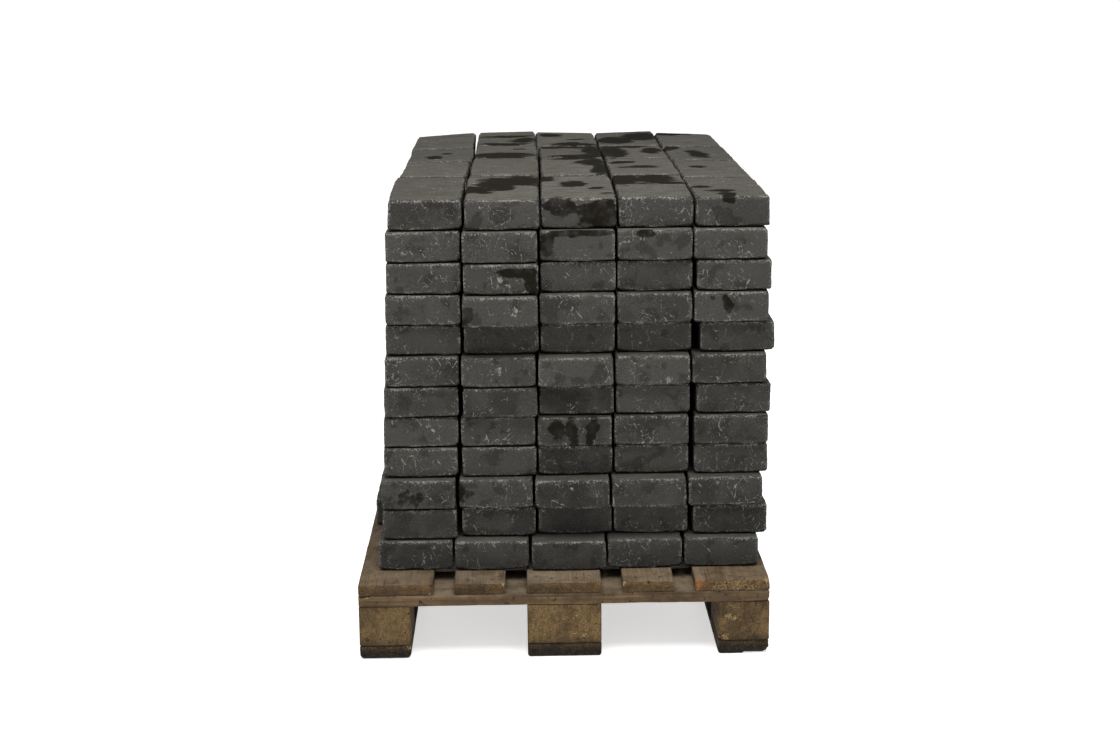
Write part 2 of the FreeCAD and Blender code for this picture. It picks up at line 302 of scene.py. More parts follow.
# Wet patches, as (course, row, column): (face, x, y or z, half width, half depth). Places run
# from -1 to 1 across the face, left to right and front to back or bottom to top.
WET = {
    (12, 1, 2): [("top", -0.66, -0.26, 0.42, 0.30), ("top", -0.12, 0.20, 0.56, 0.54),
                 ("top", 0.62, 0.52, 0.66, 0.46)],
    (12, 1, 3): [("top", -0.80, 0.65, 0.28, 0.27), ("top", -0.05, 0.12, 0.32, 0.26),
                 ("top", 0.52, -0.20, 0.28, 0.08), ("top", 0.85, -0.58, 0.18, 0.08),
                 ("front", -0.55, 0.45, 0.45, 0.58), ("front", 0.50, 0.00, 0.52, 1.05)],
    (12, 1, 4): [("top", -0.68, 0.54, 0.55, 0.50), ("top", 0.10, 0.54, 0.62, 0.46),
                 ("top", 0.60, 0.16, 0.50, 0.12)],
    (12, 1, 5): [("top", -0.70, -0.12, 0.36, 0.13), ("top", -0.20, -0.46, 0.48, 0.11),
                 ("top", -0.10, -0.86, 0.28, 0.24)],
    (12, 2, 3): [("top", 0.80, -0.38, 0.30, 0.66), ("top", 0.58, 0.36, 0.48, 0.32),
                 ("top", 0.10, 0.80, 0.66, 0.18)],
    (12, 2, 4): [("top", -0.46, 0.44, 0.44, 0.14), ("top", -0.05, -0.12, 0.60, 0.15)],
    (12, 2, 5): [("top", -0.36, 0.08, 0.24, 0.12)],
    (12, 3, 1): [("top", -0.02, -0.35, 0.24, 0.24), ("top", 0.28, 0.15, 0.20, 0.12)],
    (12, 3, 2): [("top", 0.00, -0.68, 1.05, 0.42), ("top", 0.50, 0.20, 0.18, 0.10)],
    (12, 3, 3): [("top", 0.78, 0.00, 0.36, 0.95), ("top", -0.10, 0.80, 1.00, 0.32),
                 ("top", 0.20, -0.80, 0.80, 0.22)],
    (12, 3, 4): [("top", -0.66, -0.05, 0.46, 1.00), ("top", 0.52, 0.10, 0.34, 0.55),
                 ("top", -0.10, 0.84, 0.60, 0.20)],
    (12, 3, 5): [("top", -0.05, -0.25, 0.32, 0.55), ("top", -0.85, 0.70, 0.32, 0.42)],
    (12, 4, 2): [("top", 0.00, 0.20, 1.00, 0.16), ("top", 0.60, -0.40, 0.50, 0.36),
                 ("top", 0.00, -0.90, 0.90, 0.12)],
    (12, 4, 3): [("top", -0.50, 0.45, 0.38, 0.24), ("top", 0.35, -0.10, 0.34, 0.13),
                 ("top", 0.25, -0.80, 0.80, 0.26)],
    (12, 4, 4): [("top", -0.40, -0.25, 0.64, 0.52), ("top", 0.45, 0.20, 0.58, 0.56)],
    (12, 4, 5): [("top", -0.45, 0.72, 0.60, 0.20)],
    (11, 1, 3): [("front", -0.85, 0.10, 0.20, 0.70), ("front", -0.05, 0.80, 0.95, 0.25)],
    (11, 1, 4): [("front", -0.20, 0.75, 0.28, 0.30)],
    (10, 1, 2): [("front", 0.45, 0.45, 0.52, 0.30), ("front", 0.80, -0.20, 0.24, 0.75)],
    (9, 1, 2): [("front", -0.88, -0.20, 0.18, 0.60)],
    (9, 1, 5): [("front", -0.15, 0.25, 0.13, 0.60), ("front", -0.48, 0.62, 0.07, 0.14)],
    (5, 1, 3): [("front", -0.42, 0.20, 0.24, 0.70), ("front", -0.03, 0.00, 0.17, 1.00),
                ("front", 0.46, 0.00, 0.14, 1.00)],
    (3, 1, 2): [("front", -0.90, 0.20, 0.16, 0.75)],
}


def wet_field(key, local, half):
    """How strongly each point of a paver lies in a wet patch: 1 in the middle, falling to 0."""
    field = np.zeros(len(local))
    spot = local + np.array(key) * 0.37
    x = (local[:, 0] + 9 * MM * noise(spot, 45 * MM, 11)) / half[0]
    y = (local[:, 1] + 14 * MM * noise(spot, 60 * MM, 12)) / half[1]
    for face, across, along, half_width, half_depth in WET.get(key, []):
        if face == "top":
            other = y
            on_face = smooth_step(local[:, 2] / half[2], 0.2, 0.75)
        else:
            other = local[:, 2] / half[2]
            on_face = smooth_step(-local[:, 1] / half[1], 0.86, 0.95)
        spread = ((x - across) / half_width) ** 2 + ((other - along) / half_depth) ** 2
        field = np.maximum(field, on_face * np.clip(1.25 - 0.65 * np.sqrt(spread), 0, 1))
    return field


# How far the left and right sides of some pavers are worn in, in millimetres. A negative number
# is a paver cast a little wide. First whole columns, as (course, column), then single pavers.
COLUMN_FIT = {(12, 1): (4, 0), (12, 5): (0, 3), (11, 1): (2, 0), (11, 5): (0, 3)}
PAVER_FIT = {(12, 2, 1): (6.5, -2.5), (12, 3, 1): (7, -9.5), (12, 4, 1): (5, -7.5),
             (12, 2, 2): (3, -3), (12, 3, 2): (6, -4), (12, 4, 2): (5.5, -3),
             (12, 2, 3): (4, 0), (12, 3, 3): (5, 0), (12, 4, 3): (-1, -1.5), (12, 4, 4): (-1.5, 0),
             (12, 2, 5): (0, 2), (12, 3, 5): (-2, 1), (12, 4, 5): (0, 2)}

# How far the front faces of some pavers stand forward, in millimetres; below 0 they stand back.
FORWARD = {(12, 1, 3): 2, (10, 1, 4): -3, (9, 1, 2): 3, (9, 1, 3): 3, (7, 1, 4): 3, (3, 1, 1): 2,
           (3, 1, 4): 3, (2, 1, 3): -7}

# How far the top of the load stands above level at the left and right of each column, in
# millimetres: along its front edge, then along each joint between rows, then along its rear edge.
CROWN = [
    [(0, 0), (0, 0), (0, 0), (0, 0), (0, 0)],
    [(8, 8), (10, 10), (6.5, 6.5), (6.5, 6.5), (2, 0)],
    [(2, 5), (11, 11), (10.5, 10.5), (7, 7), (3, 0)],
    [(-2, 2), (6.5, 6), (2, 2), (2, 2), (1, -1)],
    [(-1, 8), (7, 10), (8, 3), (3, 8), (4, -3)],
]

# Pavers that are clearly paler or darker than their course: a tone from -1 to 1.
TONES = {(12, 1, 1): -0.3, (12, 1, 2): 0.8, (12, 1, 3): 0.9, (12, 1, 5): 0.1, (12, 2, 3): 0.9,
         (12, 2, 1): 0.4, (12, 3, 1): -0.2, (12, 4, 1): 0.3, (12, 3, 5): -0.1, (12, 2, 5): 0.4,
         (11, 1, 1): 0.6, (10, 1, 3): 0.5, (7, 1, 4): 0.8, (6, 1, 3): -0.5, (4, 1, 4): 0.3}

# Corners broken off pavers: (corner direction, radius of the break, depth), in millimetres.
BROKEN = {(12, 4, 5): ((1, 1, 1), 42, 15), (12, 1, 1): ((-1, -1, 1), 24, 5),
          (8, 1, 5): ((1, -1, 1), 16, 5), (2, 1, 5): ((1, -1, -1), 18, 4)}

# Honeycombed hollows in front faces: (course, row, column) and the place on the face, from -1 to 1.
HONEYCOMB = {(3, 1, 1): (-0.20, -0.25), (3, 1, 2): (-0.88, 0.1)}


def joint_distance(number, last, along, half):
    """How far points are from a paver's joints in one direction; 1 m where it has none there."""
    before = half + along if number > 1 else np.full(len(along), 1.0)
    after = half - along if number < last else np.full(len(along), 1.0)
    return np.minimum(before, after)


def closeness_to_neighbours(key, points, half):
    """1 where a paver meets the one beside it, falling to 0 some millimetres away."""
    _, row, column = key
    beside = joint_distance(column, COLUMNS, points[:, 0], half[0])
    behind = joint_distance(row, ROWS, points[:, 1], half[1])
    return np.exp(-np.minimum(beside, behind) / (5 * MM))


def edge_radius(key, domain, height, edge_distance):
    """How round a paver is worn at each point of its surface.

    height runs from -1 to 1, and edge_distance holds how far each point is from the nearest
    faces: the face that it lies on, the next one and the one after that."""
    radius = (3.0 + 1.7 * noise(domain, 34 * MM, 1) + 1.3 * noise(domain, 9 * MM, 2)) * MM
    if key[0] == COURSES:
        radius += 3.5 * MM * smooth_step(height, 0.0, 0.5)
    corner_wear = (6 + 5 * noise(domain, 90 * MM, 3)) * MM
    radius += corner_wear * np.exp(-edge_distance[:, 1:].sum(1) / (15 * MM))
    return np.clip(radius, 1.2 * MM, 15 * MM)


def chip_edges(points, half, rng, count):
    """Knocks chips off random places along a paver's edges. Returns how deep they went."""
    depth = np.zeros(len(points))
    for _ in range(count):
        place, outward = edge_point(rng, half)
        size = rng.uniform(3.5, 15) * MM
        bite = min(rng.uniform(1.2, 3.6) * MM, 0.45 * size)
        middle = place + outward * (size + 1.3 * MM - bite)
        depth = np.maximum(depth, scoop(points, middle, size))
    return depth


def break_corner(key, points, half):
    """Breaks a corner off some pavers. Returns how deep the break went."""
    if key not in BROKEN:
        return np.zeros(len(points))
    direction, size, bite = BROKEN[key]
    middle = np.array(direction) * (half + (size - bite) / math.sqrt(3) * MM)
    return scoop(points, middle, size * MM)


def honeycomb(key, points, half, rng):
    """Breaks small hollows into a front face where the mix was short of fine material."""
    depth = np.zeros(len(points))
    if key in HONEYCOMB:
        across, upwards = HONEYCOMB[key]
        for _ in range(44):
            size = rng.uniform(2.5, 6.5) * MM
            place = np.array([across * half[0] + rng.normal(0, 14) * MM, -half[1],
                              upwards * half[2] + rng.normal(0, 8) * MM])
            place[1] -= size * rng.uniform(0.1, 0.5)
            depth = np.maximum(depth, scoop(points, place, size))
    return depth


def surface_wear(domain, out, edge_distance, rim):
    """How far each point of a paver's surface is worn in, in millimetres."""
    level = np.abs(out[:, 2]) > 0.95
    bulge = np.where(level, 0.0, 1.3) * depth_noise(domain, 95 * MM, 8)
    swell = np.where(level, 0.3, 1.6) * depth_noise(domain, 40 * MM, 4)
    rough = np.where(level, 0.25, 0.6) * depth_noise(domain, 11 * MM, 5)
    jagged = 2.0 * rim * depth_noise(domain, 5.5 * MM, 6)
    sag = depth_noise(domain, 75 * MM, 9) * level * np.exp(-edge_distance[:, 1] / (14 * MM))
    sag *= np.where(out[:, 2] > 0, 1.4, 2.2)  # the undersides are battered more than the tops
    pits = 1.5 * smooth_step(noise(domain, 7 * MM, 7), 0.62, 0.9) * ~level
    return bulge + swell + rough + jagged + sag + pits


def slant(key, points, half, lean):
    """Tilts a paver's top, underside and front face a little. lean holds four random values."""
    across = points[:, 0] / half[0]
    upper = smooth_step(points[:, 2] / half[2], 0.3, 1.0)
    lower = smooth_step(-points[:, 2] / half[2], 0.3, 1.0)
    rise = 0.5 * (1 + lean[1] * across) + (1.4 + lean[2]) * across ** 4
    points[:, 2] += (rise * lower - 0.5 * (1 + lean[0] * across) * upper) * MM
    if key[1] == 1:
        forward = FORWARD.get(key, -1.5 + 1.5 * lean[3]) + lean[2] * across
        points[:, 1] -= forward * MM * smooth_step(-points[:, 1] / half[1], 0.4, 1.0)


def raise_top(key, points, half):
    """Lifts the upper part of a top paver to the uneven top. Returns the rise at each point."""
    course, row, column = key
    if course < COURSES:
        return np.zeros(len(points))
    across = points[:, 0] / half[0]
    ends = [np.interp(across, (-1, 1), CROWN[line][column - 1]) for line in (row - 1, row)]
    share = (1 + points[:, 1] / half[1]) / 2
    raised = (ends[0] + (ends[1] - ends[0]) * share) * MM
    points[:, 2] += raised * smooth_step(points[:, 2] / half[2], -0.5, 1.0)
    return raised


def fit_sides(key, points, half):
    """Wears a paver's left and right sides in or out as the tables say, most at the top."""
    course, _, column = key
    slope = 0.7 + 0.3 * points[:, 2] / half[2]
    fit = PAVER_FIT.get(key, COLUMN_FIT.get((course, column), (0, 0)))
    for side, amount in zip((-1, 1), fit):
        share = smooth_step(side * points[:, 0] / half[0], 0.2, 1.0)
        if key[:2] == (COURSES, 1):
            share *= 1 - 0.7 * smooth_step(points[:, 1] / half[1], -0.9, 0.1)
        points[:, 0] -= side * amount * MM * share * slope


def worn_paver(key, box):
    """One tumbled paver: rounded, chipped along its edges, pitted and slightly uneven."""
    course, row, column = key
    rng = np.random.default_rng((course * ROWS + row) * COLUMNS + column)
    edge_steps, middle_steps, chip_count = GRADES[grid_grade(*key)]
    centre, cad_half, spin = box
    half = cad_half.copy()
    half[0] += (0.8 + 1.2 * (COURSES - course) / COURSES) * MM  # lower courses stand wider apart
    points, faces = shell_grid([graded_lines(2 * size, edge_steps, step)
                                for size, step in zip(half, middle_steps)])
    domain = points + rng.uniform(-1, 1, 3) * 20

    # Painted shade: how close each point is to the next paver, which sets the shade painted into
    # the joints.
    crevice_shade = closeness_to_neighbours(key, points, half)
    edge_distance = np.sort(half - np.abs(points), axis=1)
    rim = np.exp(-edge_distance[:, 1] / (5 * MM))
    radius = edge_radius(key, domain, points[:, 2] / half[2], edge_distance)
    points, out = rounded(points, half, radius)
    chipped = chip_edges(points, half, rng, chip_count)
    chipped = np.maximum(chipped, 0.3 * break_corner(key, points, half))
    hollow = honeycomb(key, points, half, rng)
    # Painted shade along the rear face, where the next row stands close behind.
    row_joint_shade = np.exp((points[:, 1] - half[1]) / (14 * MM)) * (row < ROWS)
    points -= out * (surface_wear(domain, out, edge_distance, rim) * MM)[:, None]

    slant(key, points, half, rng.uniform(-1, 1, 4))
    raised = raise_top(key, points, half)
    if course == COURSES and row > 1:
        gritty = np.exp(-(points[:, 1] + half[1]) / (20 * MM))
        rim = np.maximum(rim, 0.6 * gritty * smooth_step(out[:, 2], 0.5, 0.9))
    fit_sides(key, points, half)

    wet = wet_field(key, points, half)
    local = points.copy()
    points[:, :2] = points[:, :2] @ spin.T
    points += centre
    points[:, 2] = np.clip(points[:, 2], centre[2] - cad_half[2] + 0.15 * MM,
                           centre[2] + cad_half[2] + raised - 0.05 * MM)
    # The course term of the tone is painted shade: the lower courses are made darker towards the
    # bottom of the stack. The random part is the paver's own tone.
    tone = TONES.get(key, 0.60 * rng.uniform(-1, 1) + 0.9 * (course - COURSES / 2) / COURSES)
    values = {
        "grain_place": local + rng.uniform(-1, 1, 3) * 5,
        "rim": rim,
        "crevice_shade": crevice_shade,
        "row_joint_shade": row_joint_shade,
        "chip": np.clip(chipped / (1.6 * MM), 0, 1),
        "hollow": np.clip(hollow / (1.5 * MM), 0, 1),
        "wet": wet,
        "tone": np.full(len(points), tone),
    }
    return points, faces, values


def make_pavers(material):
    """Every course as one piece, and the top course as twenty."""
    for course in range(1, COURSES):
        node = f"course_{course:02d}"
        shapes = [worn_paver((course, row, column), box)
                  for row, column, box in course_boxes(node)]
        place_piece(build_mesh(f"{node}_worn", *joined(shapes)), node, material, "tumbled_concrete")
    for row in range(1, ROWS + 1):
        for column in range(1, COLUMNS + 1):
            node = f"top_paver_row{row}_col{column}"
            box = paver_box(solids_of(node)[0])
            shape = worn_paver((COURSES, row, column), box)
            place_piece(build_mesh(f"{node}_worn", *shape), node, material, "tumbled_concrete")


def body_of(node):
    """The CAD body that a node belongs to."""
    for body, members in frame["record"]["behaviour"]["bodies"].items():
        if node in members:
            return body
    raise KeyError(node)


def place_piece(piece, node, material, slot):
    """Gives a piece its material and body, and hides the node it stands for. The slot is not used.
    """
    piece.data.materials.append(material)
    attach(piece, body_of(node))
    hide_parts(node)


# ---------------------------------------------------------------- wood

# Grid steps from an edge of a board or block inwards.
WOOD_STEPS = np.array([0.8, 1.2, 1.8, 2.6, 3.8]) * MM

# Shallow splits in front ends, as node: (x and z from the middle, size of the ball, depth), and
# knocked corners, as node: (corner direction, size of the bite's ball, depth), in millimetres.
SPLITS = {
    "block_front_right": [(-30, 9, 16, 1.6), (-17, 6, 15, 1.4), (-36, -33, 12, 3.0)],
    "block_front_centre": [(22, 14, 6, 1.5), (20, -22, 17, 1.0), (38, -24, 17, 1.0)],
}
KNOCKS = {
    "deck_board_left": [((-1, -1, 1), 16, 3), ((1, -1, -1), 9, 2)],
    "deck_board_inner_left": [((1, -1, 1), 13, 5)],
    "deck_board_inner_right": [((-1, -1, 1), 11, 4)],
    "deck_board_right": [((1, -1, 1), 22, 7), ((-1, -1, -1), 8, 3)],
    "bottom_board_left": [((1, -1, 1), 10, 4)],
    "block_front_right": [((-1, -1, -1), 11, 4)],
    "stringer_board_front": [((1, -1, -1), 12, 3), ((-1, -1, 1), 10, 2)],
}

# Pieces that are grimier than the rest, from 0 to 1.
GRIME = {"block_front_right": 0.55, "stringer_board_front": 0.30, "deck_board_left": 0.22,
         "deck_board_inner_left": 0.45}

# How round the lower long edges of the bottom boards are worn, left and right, in millimetres.
LOWER_EDGES = {"bottom_board_left": (8, 8), "bottom_board_centre": (5, 5),
               "bottom_board_right": (5, 18)}

# The slopes along the upper edges of the bottom boards, as on the CAD boards.
BEVEL_WIDTH = 14 * MM
BEVEL_DROP = 12 * MM

# Kinds of wooden piece, as the start of the node's name: the axis that the grain follows, how
# round the arrises are, how much rounder at the ends, and the slot.
WOOD_KINDS = {
    "deck_board": (1, 1.4 * MM, 1.5 * MM, "board_wood"),
    "stringer_board": (0, 1.2 * MM, 1.5 * MM, "board_wood"),
    "block": (1, 2.0 * MM, 1.0 * MM, "block_wood"),
    "bottom_board": (1, 2.5 * MM, 2.5 * MM, "bottom_board_wood"),
}


def block_gaps(node):
    """Where a bottom board is clear of its blocks, as stretches along y from its middle."""
    side = node.rsplit("_", 1)[1]
    spans = [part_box(f"block_{place}_{side}") for place in ("front", "middle", "rear")]
    middle = (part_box(node)[0].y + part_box(node)[1].y) / 2
    return [(near[1].y - middle, far[0].y - middle) for near, far in zip(spans, spans[1:])]


def cut_bevels(node, points, half):
    """Slopes a bottom board's upper edges between the blocks, as on the CAD board."""
    over = np.clip(np.abs(points[:, 0]) - (half[0] - BEVEL_WIDTH), 0, BEVEL_WIDTH)
    for start, end in block_gaps(node):
        clear = (points[:, 1] > start) & (points[:, 1] < end)
        limit = half[2] - BEVEL_DROP * over / BEVEL_WIDTH
        points[:, 2] = np.where(clear, np.minimum(points[:, 2], limit), points[:, 2])


def wood_lines(node, half, grain_axis):
    """Grid lines for a board or block: wide steps along a long grain, narrow ones elsewhere."""
    steps = [6 * MM, 6 * MM, 4.5 * MM]
    steps[grain_axis] = 16 * MM if half[grain_axis] > 0.2 else 6 * MM
    lines = [graded_lines(2 * size, WOOD_STEPS, step) for size, step in zip(half, steps)]
    if node.startswith("bottom_board"):
        ends = np.array(block_gaps(node)).ravel() + half[1]
        lines[1] = np.unique(np.concatenate([lines[1], ends - 0.5 * MM, ends + 0.5 * MM]))
    return lines


def arris_radius(node, points, half, domain, grain_axis, radius, end_wear):
    """How round a board or block is worn at each point of its surface."""
    from_end = half[grain_axis] - np.abs(points[:, grain_axis])
    size = radius + end_wear * np.exp(-from_end / (25 * MM))
    size = size + 1.2 * MM * noise(domain, 40 * MM, 1)
    left, right = LOWER_EDGES.get(node, (0, 0))
    lower = smooth_step(-points[:, 2] / half[2], -0.2, 0.6)
    size = np.maximum(size, lower * np.where(points[:, 0] < 0, left, right) * MM)
    return np.clip(size, 0.6 * MM, 20 * MM)


def knock_and_split(node, points, half, rng):
    """Knocks corners off and splits ends as the tables say. Returns where bare wood shows."""
    bare = np.zeros(len(points))
    for direction, ball, bite in KNOCKS.get(node, []):
        place = np.array(direction) * half
        outward = np.array(direction) / math.sqrt(3)
        for shift in rng.normal(0, 0.35, (4, 3)):
            middle = place + (outward * (ball - bite) + shift * ball) * MM
            bare = np.maximum(bare, scoop(points, middle, ball * MM) / (0.5 * bite * MM))
    for x, z, ball, depth in SPLITS.get(node, []):
        middle = np.array([x * MM, -half[1] - (ball - depth) * MM, z * MM])
        split = scoop(points, middle, ball * MM) / (0.5 * depth * MM)
        bare = np.maximum(bare, 0.6 * np.minimum(split, 1))
    return bare


def wood_wear(domain, out, grain_axis, wear):
    """How far each point of a board's surface is worn in, in millimetres."""
    fibre = domain.copy()
    fibre[:, grain_axis] *= 0.12
    end_face = np.abs(out[:, grain_axis]) > 0.8
    saw = np.where(end_face, 0.7, 0.18) * depth_noise(domain, 2.6 * MM, 2)
    strands = np.where(end_face, 0.0, 0.45) * depth_noise(fibre, 3.2 * MM, 3)
    hollow = 0.8 * smooth_step(noise(fibre, 9 * MM, 4), 0.45, 0.95) * ~end_face
    ragged = 1.3 * wear * depth_noise(domain, 6 * MM, 5)
    level = np.abs(out[:, 2]) > 0.9
    return (saw + strands + hollow + ragged) * np.where(level, 0.6, 1.0)


def dampness(node, height):
    """How damp a piece is from below, by height from -1 to 1."""
    if node.startswith("bottom_board"):
        return smooth_step(-height, -0.9, 0.1)
    if node.startswith("block"):
        return 0.5 * smooth_step(-height, 0.5, 1.0)
    return np.zeros(len(height))


def log_places(points, grain_axis, rng):
    """Places in the log that a piece was cut from: y along the grain, the pith at x = z = 0."""
    pith = rng.uniform(-1, 1, 3) * 30 * MM
    pith[2] -= rng.choice((-1, 1)) * rng.uniform(25, 60) * MM
    turned = points - pith
    if grain_axis == 0:
        turned = turned[:, [1, 0, 2]]
    return turned + np.array([0.0, rng.uniform(-3, 3), 0.0])


def worn_wood(node, grain_axis, radius, end_wear, seed):
    """A sawn board or block: arrises worn round, rough ends and a few knocks."""
    low, high = (np.array(corner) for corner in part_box(node))
    half = (high - low) / 2
    rng = np.random.default_rng(seed)
    points, faces = shell_grid(wood_lines(node, half, grain_axis))
    domain = points + rng.uniform(-1, 1, 3) * 20
    radii = arris_radius(node, points, half, domain, grain_axis, radius, end_wear)
    points, out = rounded(points, half, radii)
    wear = smooth_step(1 - np.abs(out).max(1), 0.02, 0.25)
    if node.startswith("bottom_board"):
        cut_bevels(node, points, half)
    damp = dampness(node, points[:, 2] / half[2])
    fresh = knock_and_split(node, points, half, rng)
    points -= out * (wood_wear(domain, out, grain_axis, wear) * MM)[:, None]

    place = log_places(points, grain_axis, rng)
    rust = np.zeros(len(points))
    if node == "deck_board_right":  # a rusted nail stains its front left corner, bare wood beside
        corner = np.array([-half[0], -half[1], 0.3 * half[2]])
        rust = np.exp(-((np.linalg.norm(points - corner, axis=1) / (13 * MM)) ** 2))
        straw = smooth_step(points[:, 0] / half[0], -0.7, -0.4)
        straw *= smooth_step(-points[:, 0] / half[0], -0.9, -0.6)
        fresh = np.maximum(fresh, 0.30 * straw * (np.abs(out[:, grain_axis]) > 0.8))
    values = {
        "wood_place": place,
        "wear": wear,
        "fresh": np.clip(fresh, 0, 1),
        "rust": rust,
        "damp": damp,
        "end_grain": smooth_step(np.abs(out[:, grain_axis]), 0.5, 0.9),
        "upper": smooth_step(points[:, 2] / half[2], 0.1, 0.7) * node.startswith("deck_board"),
        # Painted light: the stringers' upward faces are made paler to lift the shade that falls on
        # them.
        "pale": smooth_step(out[:, 2], 0.3, 0.8) * node.startswith("stringer_board"),
        "tone": np.full(len(points), rng.uniform(-1, 1)),
        "grime": np.full(len(points), GRIME.get(node, 0.0)),
    }
    return points + (high + low) / 2, faces, values


def make_pallet(materials):
    """The boards and blocks of the pallet."""
    for number, node in enumerate(sorted(frame["nodes"])):
        for kind, (grain_axis, radius, end_wear, slot) in WOOD_KINDS.items():
            if node.startswith(kind + "_"):
                shape = worn_wood(node, grain_axis, radius, end_wear, 500 + number)
                place_piece(build_mesh(f"{node}_worn", *shape), node, materials[slot], slot)


# ---------------------------------------------------------------- shader nodes

class Nodes:
    """Short calls for building one material's node tree."""

    def __init__(self, name):
        self.material = bpy.data.materials.new(name)
        self.material.use_nodes = True
        self.tree = self.material.node_tree
        self.surface = self.tree.nodes["Principled BSDF"]

    def add(self, kind, inputs, output=0, **settings):
        """A node with its inputs set or linked; returns one of its outputs."""
        node = self.tree.nodes.new(kind)
        for key, value in settings.items():
            setattr(node, key, value)
        for key, value in inputs.items():
            self.feed(node.inputs[key], value)
        return node.outputs[output]

    def feed(self, socket, value):
        """Links an output to a socket, or sets the socket's own value."""
        if isinstance(value, bpy.types.NodeSocket):
            self.tree.links.new(value, socket)
        else:
            socket.default_value = value

    def put(self, name, value):
        """Links an output to a socket of the surface shader, or sets the socket's own value."""
        self.feed(self.surface.inputs[name], value)

    def attribute(self, name, output="Fac"):
        return self.add("ShaderNodeAttribute", {}, output, attribute_name=name)

    def facing_up(self):
        """How far the surface faces up: 1 for a top, 0 for a side and -1 for an underside."""
        normal = self.add("ShaderNodeNewGeometry", {}, "Normal")
        return self.add("ShaderNodeSeparateXYZ", {0: normal}, "Z")

    def math(self, operation, first, second=0.0):
        return self.add("ShaderNodeMath", {0: first, 1: second}, operation=operation)

    def times(self, first, *others):
        for other in others:
            first = self.math("MULTIPLY", first, other)
        return first

    def plus(self, first, second):
        return self.math("ADD", first, second)

    def largest(self, first, *others):
        for other in others:
            first = self.math("MAXIMUM", first, other)
        return first

    def vector(self, operation, first, second=(0.0, 0.0, 0.0), output=0):
        return self.add("ShaderNodeVectorMath", {0: first, 1: second}, output, operation=operation)

    def scale(self, vector, factors):
        return self.vector("MULTIPLY", vector, factors)

    def noise(self, vector, scale, detail=2.0, roughness=0.55, output=0):
        inputs = {"Vector": vector, "Scale": scale, "Detail": detail, "Roughness": roughness}
        return self.add("ShaderNodeTexNoise", inputs, output)

    def band(self, value, low, high, out_low=0.0, out_high=1.0):
        """A value remapped smoothly from low..high."""
        inputs = {"Value": value, "From Min": low, "From Max": high,
                  "To Min": out_low, "To Max": out_high}
        return self.add("ShaderNodeMapRange", inputs, interpolation_type="SMOOTHSTEP")

    def mix(self, factor, first, second, blend="MIX"):
        """Two colours mixed; the three inputs are the mix node's factor and colour sockets."""
        inputs = {0: factor, 6: first, 7: second}
        return self.add("ShaderNodeMix", inputs, 2, data_type="RGBA", blend_type=blend)

    def bump(self, height, distance, strength, normal=None):
        inputs = {"Height": height, "Distance": distance, "Strength": strength}
        if normal is not None:
            inputs["Normal"] = normal
        return self.add("ShaderNodeBump", inputs)


def colour(red, green, blue):
    return (red, green, blue, 1.0)


# Painted shade: colours that stand in for the shade in the joints between pavers, on their
# undersides and in their hollows.
JOINT_SHADE = colour(0.006, 0.006, 0.005)
SHADE_BLACK = colour(0.008, 0.008, 0.007)


def curved_lines(n, place, scale, width):
    """Thin wandering lines: where a soft noise crosses its middle value."""
    away = n.math("ABSOLUTE", n.math("SUBTRACT", n.noise(place, scale, 1.0, 0.4), 0.5))
    return n.band(away, 0.25 * width, width, 1.0, 0.0)


def concrete_base(n, place, top, grain):
    """The colour of sound dry concrete: mottled all over, with the tops dusted and also made paler
    as painted light, since they face the light.
    """
    tone = n.attribute("tone")
    base = n.mix(n.band(tone, -1, 1),
                 colour(0.0235, 0.0230, 0.0210), colour(0.0500, 0.0488, 0.0445))
    clouds = n.band(n.noise(place, 15, 3, 0.55), 0.42, 0.66, 0.0, 0.55)
    base = n.mix(clouds, base, colour(0.054, 0.052, 0.0465))
    smudges = n.noise(n.scale(place, (1.0, -1.3, 1.1)), 26, 2, 0.5)
    base = n.mix(n.band(smudges, 0.54, 0.64, 0.0, 0.55), base, colour(0.0175, 0.0170, 0.0145))
    streaks = n.noise(n.scale(place, (22.0, 150.0, 60.0)), 1.0, 4, 0.7)
    dust_and_top_light = n.mix(n.band(streaks, 0.35, 0.65), colour(0.062, 0.0580, 0.0490),
                 colour(0.108, 0.1010, 0.0860))
    dust_and_top_light = n.mix(n.band(tone, -1, 1, 0.45, 0.0), dust_and_top_light, colour(0.048, 0.046, 0.040))
    # Painted light: the tops are made paler because they face the light, on top of their dusting.
    base = n.mix(n.times(top, 0.66), base, dust_and_top_light)
    base = n.mix(n.band(grain, 0.28, 0.48, 0.50, 0.0), base, colour(0.009, 0.009, 0.008))
    return n.mix(n.band(grain, 0.56, 0.76, 0.0, 0.45), base, colour(0.090, 0.087, 0.077))


def pale_marks(n, place, facing, rim):
    """Where concrete is scratched, dashed, or gritty along its edges."""
    gather = n.band(n.noise(place, 17, 1.0), 0.48, 0.60)
    broken = n.band(n.noise(place, 150, 2, 0.6), 0.47, 0.56)
    scratches = n.largest(
        curved_lines(n, n.scale(place, (1.25, 1.0, 0.60)), 27, 0.013),
        curved_lines(n, n.scale(place, (1.0, -1.3, 1.1)), 55, 0.013))
    scratches = n.times(scratches, gather, broken)
    spun = n.add("ShaderNodeVectorRotate", {"Vector": place, "Axis": (0.3, 1.0, 0.2),
                                            "Angle": -0.9}, rotation_type="AXIS_ANGLE")
    dashes = n.band(n.noise(n.scale(spun, (46.0, 70.0, 330.0)), 1.0, 1.0), 0.745, 0.79)
    patches = n.band(n.noise(place, 33, 3, 0.6), 0.56, 0.64)
    grit = n.noise(place, 290, 2, 0.8)
    loose = n.band(n.plus(grit, n.times(patches, 0.10)), 0.70, 0.78)
    uneven = n.band(n.noise(place, 44, 2), 0.38, 0.60, 0.22, 1.0)
    edge_grit = n.band(n.plus(grit, n.times(rim, uneven, 0.26)), 0.60, 0.68)
    edge_grit = n.times(edge_grit, n.band(rim, 0.10, 0.40),
                        n.band(facing, -0.30, 0.10, 0.10, 1.0))
    pale = n.largest(scratches, dashes, loose, edge_grit)
    return n.times(pale, n.band(facing, 0.55, 0.95, 0.72, 0.50))


